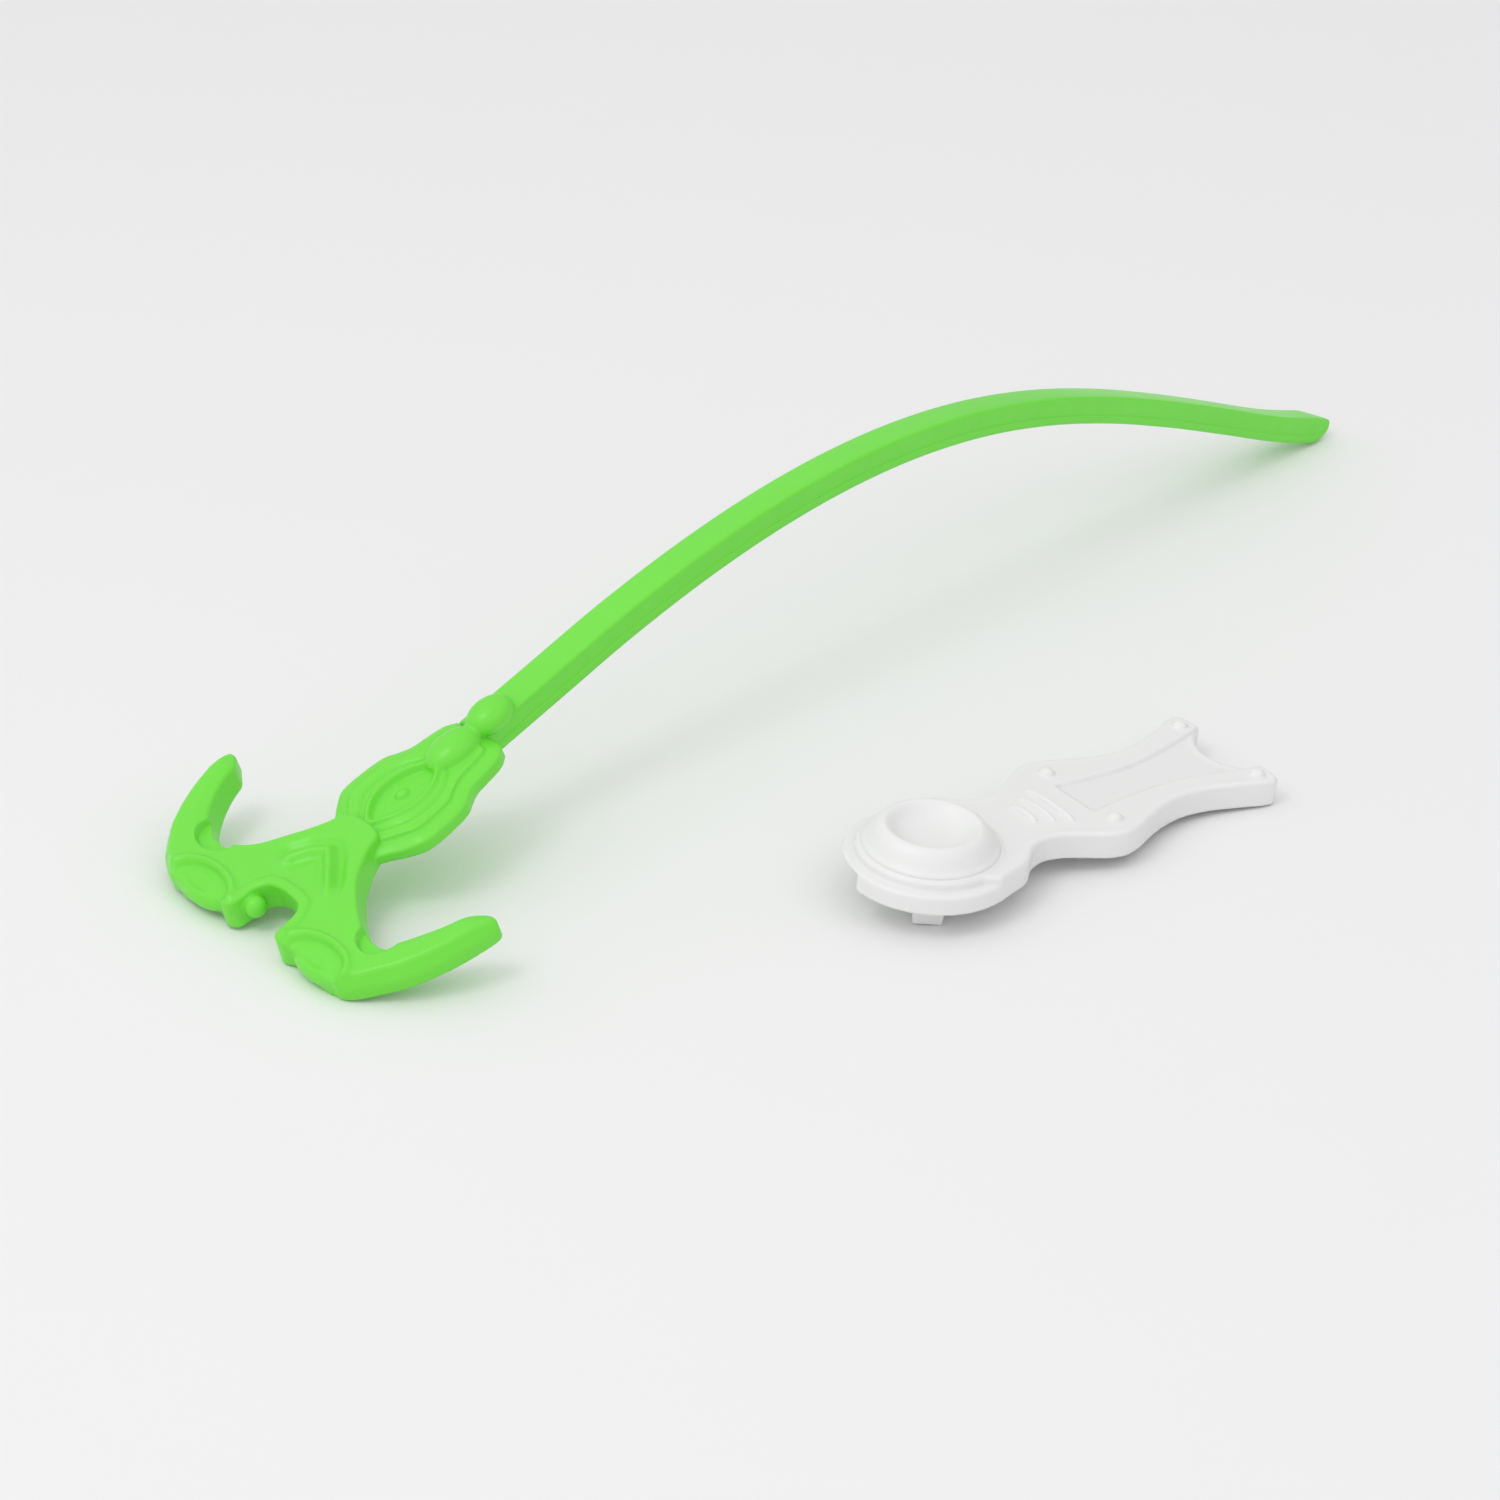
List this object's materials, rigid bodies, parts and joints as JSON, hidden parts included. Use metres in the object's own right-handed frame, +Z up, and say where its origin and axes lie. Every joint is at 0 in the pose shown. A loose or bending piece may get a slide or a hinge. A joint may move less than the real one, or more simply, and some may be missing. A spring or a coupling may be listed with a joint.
{
  "type": "toy top launcher with ripcord",
  "caption": "Hand launcher for a spinning top, with a domed gear case and waisted handle, lying beside its arched toothed rip-cord with an anchor-shaped grip.",
  "frame": {"origin": "centre of the footprint of the whole set, on the floor it lies on", "axes": "+Z up from the floor, +X along the chord of the rip-cord from its grip to its tip, +Y from the launcher towards the rip-cord"},
  "size_m": [0.3316, 0.147, 0.0498],
  "materials": {
    "white_plastic": "semi-gloss",
    "green_plastic": "semi-gloss",
    "gear_nylon": "matt",
    "screw_steel": "zinc plated"
  },
  "bodies": {
    "launcher_case": {"upper_shell": "white_plastic", "lower_shell": "white_plastic", "top_cap": "white_plastic", "case_screw_1": "screw_steel", "case_screw_2": "screw_steel", "case_screw_3": "screw_steel", "case_screw_4": "screw_steel"},
    "drive": {"drive_gear": "gear_nylon", "prong_hub": "white_plastic", "hub_washer": "screw_steel", "hub_screw": "screw_steel"},
    "ripcord": {"ripcord_grip": "green_plastic", "ripcord_strip": "green_plastic"}
  },
  "joints": [
    {"name": "drive_spin", "type": "hinge", "parent": "launcher_case", "child": "drive", "pos_m": [-0.06092, -0.04682, 0.0056], "axis": [0.0524, -0.0534, 0.9972], "continuous": true},
    {"name": "ripcord_lift", "type": "slide", "parent": "launcher_case", "child": "ripcord", "axis": [0, 0, 1], "range_m": [0, 0.12]}
  ]
}
